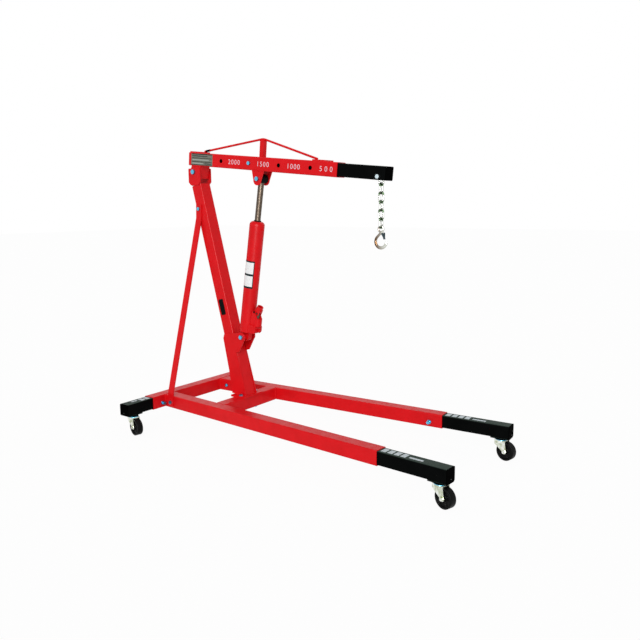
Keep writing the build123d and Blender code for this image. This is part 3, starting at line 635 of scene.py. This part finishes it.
def hook_eye(eye):
    """The ring that hangs in the last link."""
    deselect()
    bpy.ops.mesh.primitive_torus_add(
        major_radius=EYE_R * MM, minor_radius=EYE_WIRE * MM, major_segments=48, minor_segments=16,
        location=eye, rotation=(math.pi / 2, 0, 0))
    return bpy.context.object


def hook_line():
    """The forging's middle line from the neck round the bowl to the tip."""
    line = list(NECK)
    for turn in BOWL_TURNS:
        angle = math.radians(turn)
        full = 1 - abs(turn - BOWL_FULL_AT) / BOWL_FADE
        line.append((BOWL_R * math.cos(angle), BOWL_R * math.sin(angle) - BOWL_DROP,
                     BOWL_HALF + BOWL_SWELL * full))
    line[-1] = (*line[-1][:2], TIP_R)
    return line


def hook_bowl(eye):
    """The neck and bowl: a round bar of changing thickness along the line, flattened sideways."""
    line = hook_line()
    deselect()
    bpy.ops.curve.primitive_nurbs_path_add()
    curve = bpy.context.object.data
    curve.splines.clear()
    spline = curve.splines.new("NURBS")
    spline.points.add(len(line) - 1)
    for point, (x, z, half) in zip(spline.points, line):
        point.co = (eye.x + x * MM, 0, eye.z + z * MM, 1)
        point.radius = half
    spline.order_u, spline.use_endpoint_u = 4, True
    curve.bevel_depth, curve.bevel_resolution, curve.resolution_u = 1 * MM, 5, 6
    curve.use_fill_caps = True
    pick(bpy.context.object)
    bpy.ops.object.convert(target="MESH")
    bowl = bpy.context.object
    for vertex in bowl.data.vertices:
        vertex.co.y *= BOWL_FLATTEN
    return bowl


def hook_knuckle(eye):
    """The swelling between the eye and the neck."""
    deselect()
    bpy.ops.mesh.primitive_uv_sphere_add(
        segments=24, ring_count=14, radius=KNUCKLE_R * MM,
        location=(eye.x + KNUCKLE_X * MM, 0, eye.z + KNUCKLE_Z * MM))
    knuckle = pick(bpy.context.object)
    knuckle.scale = KNUCKLE_SHAPE
    bpy.ops.object.transform_apply(location=False, rotation=False, scale=True)
    return knuckle


class HOIST_OT_hook(bpy.types.Operator):
    """Replaces the flat hook with a forged one of round and oval sections"""

    bl_idname = "hoist.hook"
    bl_label = "Hook"

    def execute(self, context):
        eye = Vector((joint_at("hook_swing").x, 0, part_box("hook")[1].z - EYE_OUTER * MM))
        ring, bowl, knuckle = hook_eye(eye), hook_bowl(eye), hook_knuckle(eye)
        pick(ring)
        bowl.select_set(True)
        knuckle.select_set(True)
        bpy.ops.object.join()
        forging = modified(context.object, "REMESH", mode="VOXEL", voxel_size=1.1 * MM)
        modified(forging, "SMOOTH", factor=0.5, iterations=6)
        bpy.ops.object.shade_smooth()
        settle(forging, "forged_hook", "hook_body", FINISHES["forged"],
               hides=["hook"])
        return {"FINISHED"}


# ---- small fittings ----

RIVET_R, RIVET_LENGTH, RIVET_EDGE, RIVET_OUT, RIVET_UP = 2.4, 2.4, 0.8, 1.6, 15
LINER_R, LINER_LENGTH, LINER_WALL, LINER_IN = 7.9, 2.6, 1.3, 1.5
RIM_R, RIM_THICK, RIM_WIDTH, RIM_OUT = 10.2, 0.6, 3, 0.3
MAST_PLUG, MAST_PLUG_AT = (61, 65, 9), 1171.5


def turned(radius, length, edge):
    """A round turned piece about +Z, from its base up, with softened edges, in millimetres."""
    deselect()
    bpy.ops.mesh.primitive_cylinder_add(
        vertices=48, radius=radius * MM, depth=length * MM, location=(0, 0, length / 2 * MM))
    piece = bpy.context.object
    bpy.ops.object.transform_apply(location=True, rotation=False, scale=False)
    return smooth(bevelled(piece, edge * MM, 4))


def open_sleeve(radius, length, wall):
    """A short open sleeve about +Z, centred on the origin, in millimetres."""
    deselect()
    bpy.ops.mesh.primitive_cylinder_add(
        vertices=48, radius=radius * MM, depth=length * MM, end_fill_type="NOTHING")
    return smooth(modified(bpy.context.object, "SOLIDIFY", thickness=wall * MM, offset=-1))


class HOIST_OT_fittings(bpy.types.Operator):
    """Adds the wiper, painted-shade pieces in the rod's eye and on the pump, the caps' rivets, the
    hole liners and rims, the mast's plug and the stay's black sleeve
    """

    bl_idname = "hoist.fittings"
    bl_label = "Fittings"

    def execute(self, context):
        rubber, plug = FINISHES["rubber"], FINISHES["plug"]
        # Each turned piece: its body and place, then its radius, length and softened edge.
        for name, body, place, radius, length, edge in (
            ("rod_wiper", "ram", standing(RAM, 625), 19.5, 7, 2),
            # The black cylinder in the rod's eye is painted shade: it darkens the gap between the
            # clevis plates.
            ("rod_eye_bush", "rod", on_side(RAM, 845.8, 0, 27.4), 23.4, 54.8, 2),
            # The black cap on the pump's pin is painted shade: it stands for the shadowed gap
            # between the ram and the pump.
            ("pump_pin_cap", "ram", on_side(RAM, 153, 56, -20.5), 5.5, 4.5, 1.5),
        ):
            settle(turned(radius, length, edge), name, body, rubber, place)
        for kind, word in (("leg", "right"), ("leg", "left"), ("arm", "right"), ("arm", "left")):
            out = joint_axis(f"{kind}_slide_{word}")
            low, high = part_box(f"{kind}_cap_{word}")
            spot = (low + high) / 2 + out * RIVET_OUT * MM
            spot.z = low.z + RIVET_UP * MM
            settle(turned(RIVET_R, RIVET_LENGTH, RIVET_EDGE), f"cap_rivet_{kind}_{word}",
                   f"{kind}_slider_{word}", FINISHES["foil_dark"],
                   axes(spot, Z_AXIS, out.cross(Z_AXIS), out))
        # Black liners and rims in the open holes. The liners are partly the unpainted inside of
        # the tube and partly painted shade; the rims lie on the paint round each hole and are
        # painted shade that widens its dark ring.
        for hole in OPEN_HOLES:
            u = HOLE_FIRST + hole * HOLE_PITCH
            for side, word in ((NEAR, "near"), (FAR, "far")):
                for name, radius, length, wall, w in (
                    ("liner", LINER_R, LINER_LENGTH, LINER_WALL, SLEEVE_SIDE - LINER_IN),
                    ("rim", RIM_R, RIM_THICK, RIM_WIDTH, SLEEVE_SIDE + RIM_OUT),
                ):
                    settle(open_sleeve(radius, length, wall), f"hole_{name}_{hole}_{word}",
                           "boom", plug, on_side(BOOM, u, SLEEVE_MID, side * w))
        deselect()
        bpy.ops.mesh.primitive_cube_add(size=1)
        cover = context.object
        cover.scale = [length * MM for length in MAST_PLUG]
        bpy.ops.object.transform_apply(location=False, rotation=False, scale=True)
        settle(bevelled(cover, 2 * MM), "mast_plug", "base", plug,
               standing(MAST, MAST_PLUG_AT))
        # A black sleeve round the stay's rear end, where the stay meets the rear strip.
        settle(turned(6, 34, 2), "stay_black_sleeve", "boom", rubber, standing(STAY, 0))
        return {"FINISHED"}


# ---- labels and print ----

FOIL, FILM = 0.4, 0.3
RAM_R, RAM_LABEL_LIFT = 40, 0.1
# Setting marks on a tube's top: blocks from the mouth of its sleeve outward, then one rule.
MARK_FIRST, MARK_PITCH, MARK_LENGTH, MARK_WIDTH = 20, 33, 24, 38
RULE_GAP, RULE_ASIDE, RULE_WIDTH = 14, 6, 14
NUMBER_FIRST, NUMBER_DROP, STROKE_THINNED = 290.6, 1.5, 0.25
# Each number and the spacing of its characters.
LOADS = (("2000", 1.25), ("1500", 1.25), ("1000", 1.25), ("500", 1.75))


def plate(width, height, thick, corner=0.0):
    """A thin rectangular label in the XY plane, from sizes in millimetres."""
    deselect()
    bpy.ops.mesh.primitive_plane_add(size=1)
    label = bpy.context.object
    label.scale = (width * MM, height * MM, 1)
    bpy.ops.object.transform_apply(location=False, rotation=False, scale=True)
    bpy.ops.object.mode_set(mode="EDIT")
    bpy.ops.mesh.select_all(action="SELECT")
    if corner:
        bpy.ops.mesh.bevel(offset=corner * MM, segments=4, affect="VERTICES")
    bpy.ops.mesh.extrude_region_move(TRANSFORM_OT_translate={"value": (0, 0, thick * MM)})
    bpy.ops.object.mode_set(mode="OBJECT")
    return outward(label)


def wrapped(radius, low, high, start, end):
    """A curved label about +Z, between two heights in millimetres and two angles in degrees."""
    deselect()
    bpy.ops.mesh.primitive_cylinder_add(
        vertices=120, radius=radius * MM, depth=(high - low) * MM, end_fill_type="NOTHING",
        location=(0, 0, (low + high) / 2 * MM))
    label = bpy.context.object
    bpy.ops.object.transform_apply(location=True, rotation=False, scale=False)
    edit(label)
    select_faces(label, lambda centre, normal: (
        not start < math.degrees(math.atan2(centre.y, centre.x)) < end))
    bpy.ops.mesh.delete(type="FACE")
    bpy.ops.object.mode_set(mode="OBJECT")
    return smooth(outward(modified(label, "SOLIDIFY", thickness=FILM * MM, offset=1)), 30)


class HOIST_OT_labels(bpy.types.Operator):
    """Adds the bare data plates on the mast, the boom and the ram"""

    bl_idname = "hoist.labels"
    bl_label = "Labels"

    def execute(self, context):
        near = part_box("boom_sleeve")[0].y / MM
        settle(plate(162, 62, FOIL, 2), "boom_data_plate", "boom", FINISHES["foil"],
               on_side(BOOM, 53, SLEEVE_MID, near))
        # Each line of the plate: its middle along and across the boom, its length and height.
        for row, (u, v, length, tall, tone) in enumerate((
            (53, 96, 156, 4, "vinyl_dark"), (38, 86, 118, 5, "foil_dark"),
            (53, 75, 150, 2.5, "vinyl_dark"), (44, 66, 128, 5, "foil_bright"),
            (53, 56, 150, 2.5, "vinyl_dark"), (20, 47, 84, 5, "foil_bright"),
            (100, 47, 52, 5, "foil_dark"), (53, 39.5, 156, 2.5, "vinyl_dark"),
        )):
            settle(plate(length, tall, FILM), f"boom_plate_rule_{row}", "boom", FINISHES[tone],
                   on_side(BOOM, u, v, near - FOIL))
        settle(plate(88, 34, FOIL, 8), "mast_plate", "base", FINISHES["vinyl_dark"],
               on_side(MAST, 491, 3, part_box("mast")[0].y / MM))
        border_r = RAM_R + RAM_LABEL_LIFT
        settle(wrapped(border_r, 274, 421, -168, -38), "ram_label_border", "ram",
               FINISHES["label_border"], standing(RAM, 0))
        for name, low, high in (("ram_label_lower", 284, 341), ("ram_label_upper", 352, 413)):
            settle(wrapped(border_r + FILM, low, high, -164, -45), name, "ram",
                   FINISHES["vinyl_white"], standing(RAM, 0))
        return {"FINISHED"}


def tube_top(kind, word):
    """Axes on top of a sliding tube: u outward from the mouth of its sleeve, v across."""
    axis, sleeve, slider = {
        "leg": (0, f"leg_{word}", f"leg_extension_{word}"),
        "arm": (1, "rear_beam", f"rear_arm_{word}"),
    }[kind]
    along = joint_axis(f"{kind}_slide_{word}")
    tip_low, tip_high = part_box(f"{kind}_cap_{word}")
    tip = (tip_low + tip_high) / 2
    low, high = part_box(sleeve)
    mouth = (high if along[axis] > 0 else low)[axis]
    start = tip + along * ((mouth - tip[axis]) / along[axis])
    start.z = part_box(slider)[1].z
    return Rig(start, along, Z_AXIS.cross(along))


class HOIST_OT_marks(bpy.types.Operator):
    """Prints plain setting marks on the tops of the black tubes"""

    bl_idname = "hoist.marks"
    bl_label = "Setting marks"

    def execute(self, context):
        for kind, word, blocks, rule in (
            ("leg", "right", 4, 66), ("leg", "left", 4, 66), ("arm", "right", 2, 36),
        ):
            rig = tube_top(kind, word)
            prints = [(MARK_FIRST + MARK_PITCH * step, 0, MARK_LENGTH, MARK_WIDTH)
                      for step in range(blocks)]
            aside = -RULE_ASIDE * (rig.u.x + abs(rig.u.y))
            prints.append((RULE_GAP + MARK_PITCH * blocks + rule / 2, aside, rule, RULE_WIDTH))
            for step, (u, v, length, width) in enumerate(prints):
                settle(plate(length, width, FILM), f"{kind}_mark_{word}_{step}",
                       f"{kind}_slider_{word}", FINISHES["leg_marking"],
                       axes(rig.at(u, v), rig.u, rig.v, Z_AXIS))
        return {"FINISHED"}


class HOIST_OT_numbers(bpy.types.Operator):
    """Prints the load in kilograms beside each adjustment hole of the boom"""

    bl_idname = "hoist.numbers"
    bl_label = "Load numbers"

    def execute(self, context):
        sizes = context.scene.hoist_settings
        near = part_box("boom_sleeve")[0].y / MM
        for hole, (load, spacing) in enumerate(LOADS):
            deselect()
            bpy.ops.object.text_add()
            text = context.object.data
            text.body, text.size = load, sizes.number_height
            text.align_x, text.align_y = "CENTER", "CENTER"
            text.extrude, text.offset = sizes.film / 2, -STROKE_THINNED * MM
            text.space_character = spacing
            pick(context.object)
            bpy.ops.object.convert(target="MESH")
            settle(context.object, f"load_{load}", "boom", FINISHES["marking"],
                   on_side(BOOM, NUMBER_FIRST + hole * HOLE_PITCH, SLEEVE_MID - NUMBER_DROP, near))
        return {"FINISHED"}


# ---- stage ----

FLOOR_SIZE, FLOOR_GLOW = 60, 0.95
SKY_LIGHT, SKY_SEEN = 0.55, 1.0
LIT_POINT = Vector((0, 0, 0.7))
KEY_AT, KEY_ANGLE, KEY_POWER = Vector((2.4, -4.3, 3.0)), math.radians(35), 1.5
EDGE_AT, EDGE_WIDTH, EDGE_HEIGHT, EDGE_POWER = Vector((1.7, -3.1, 1.7)), 0.5, 2.4, 250


def seen_by(tree, *rays):
    """1 for the kinds of ray named, 0 for the others."""
    path = put(tree, "ShaderNodeLightPath")
    seen = path.outputs[rays[0]]
    for ray in rays[1:]:
        seen = maths(tree, "MAXIMUM", seen, path.outputs[ray])
    return seen


def add_floor():
    """A pale floor that looks white to the eye and still takes shadows."""
    deselect()
    bpy.ops.mesh.primitive_plane_add(size=FLOOR_SIZE)
    floor = bpy.context.object
    floor.name = "floor"
    material, tree = new_material("pale_floor")
    share = maths(tree, "MULTIPLY", seen_by(tree, "Is Camera Ray", "Is Glossy Ray"), FLOOR_GLOW)
    matt = put(tree, "ShaderNodeBsdfDiffuse", {"Color": linear("#F4F4F4")})
    glow = put(tree, "ShaderNodeEmission", {"Color": linear("#FFFFFF"), "Strength": 1.0})
    mix = put(tree, "ShaderNodeMixShader", {0: share, 1: matt.outputs[0], 2: glow.outputs[0]})
    put(tree, "ShaderNodeOutputMaterial", {"Surface": mix.outputs[0]})
    floor.data.materials.append(material)


def add_world(scene):
    """A white studio that is dimmer as a light than it looks."""
    scene.world = bpy.data.worlds.new("studio")
    scene.world.use_nodes = True
    sky = scene.world.node_tree
    sky.nodes.clear()
    seen = seen_by(sky, "Is Camera Ray", "Is Glossy Ray", "Is Transmission Ray")
    level = remap(sky, seen, SKY_LIGHT, SKY_SEEN)
    backdrop = put(sky, "ShaderNodeBackground", {"Color": (1, 1, 1, 1), "Strength": level})
    put(sky, "ShaderNodeOutputWorld", {"Surface": backdrop.outputs[0]})


def add_lamp(name, kind, spot, power):
    """A lamp that points at the middle of the object."""
    deselect()
    bpy.ops.object.light_add(type=kind, location=spot)
    lamp = bpy.context.object
    lamp.name, lamp.data.energy = name, power
    lamp.rotation_euler = (LIT_POINT - spot).to_track_quat("-Z", "Y").to_euler()
    return lamp


def add_camera(scene):
    """The camera, from the stage settings."""
    stage = scene.hoist_stage
    deselect()
    bpy.ops.object.camera_add()
    camera = scene.camera = bpy.context.object
    turn = (Matrix.Rotation(stage.heading, 4, "Z")
            @ Matrix.Rotation(math.pi / 2 - stage.pitch, 4, "X")
            @ Matrix.Rotation(stage.roll, 4, "Z"))
    camera.matrix_world = Matrix.Translation(stage.camera_at) @ turn
    camera.data.lens, camera.data.clip_end = stage.lens, 100


class HOIST_OT_stage(bpy.types.Operator):
    """Sets the floor, the soft lights, the world and the camera"""

    bl_idname = "hoist.stage"
    bl_label = "Stage"

    def execute(self, context):
        add_floor()
        add_world(context.scene)
        add_lamp("key", "SUN", KEY_AT, KEY_POWER).data.angle = KEY_ANGLE
        # A tall soft box that only shows as a streak on gloss paint.
        edge = add_lamp("edge", "AREA", EDGE_AT, EDGE_POWER)
        edge.data.shape, edge.data.size, edge.data.size_y = "RECTANGLE", EDGE_WIDTH, EDGE_HEIGHT
        edge.visible_diffuse = False
        add_camera(context.scene)
        context.scene.view_settings.view_transform = "Standard"
        return {"FINISHED"}


# ---- panel and running ----


class HOIST_PT_panel(bpy.types.Panel):
    """Lists the steps that dress the hoist"""

    bl_label = "Engine hoist"
    bl_idname = "HOIST_PT_panel"
    bl_space_type = "VIEW_3D"
    bl_region_type = "UI"
    bl_category = "Hoist"

    def draw(self, context):
        column = self.layout.column()
        for name in HoistSettings.__annotations__:
            column.prop(context.scene.hoist_settings, name)
        for name in HoistStage.__annotations__:
            column.prop(context.scene.hoist_stage, name)
        for step in STEPS:
            column.operator(step.bl_idname)


STEPS = (
    HOIST_OT_finishes, HOIST_OT_welds, HOIST_OT_wheels, HOIST_OT_hook, HOIST_OT_fittings,
    HOIST_OT_labels, HOIST_OT_marks, HOIST_OT_numbers, HOIST_OT_stage,
)
CLASSES = (HoistSettings, HoistStage, *STEPS, HOIST_PT_panel)


def register():
    for item in CLASSES:
        bpy.utils.register_class(item)
    bpy.types.Scene.hoist_settings = bpy.props.PointerProperty(type=HoistSettings)
    bpy.types.Scene.hoist_stage = bpy.props.PointerProperty(type=HoistStage)


def unregister():
    del bpy.types.Scene.hoist_stage
    del bpy.types.Scene.hoist_settings
    for item in reversed(CLASSES):
        bpy.utils.unregister_class(item)


def main():
    register()
    for step in STEPS:
        group, name = step.bl_idname.split(".")
        getattr(getattr(bpy.ops, group), name)()


if __name__ == "__main__":
    main()
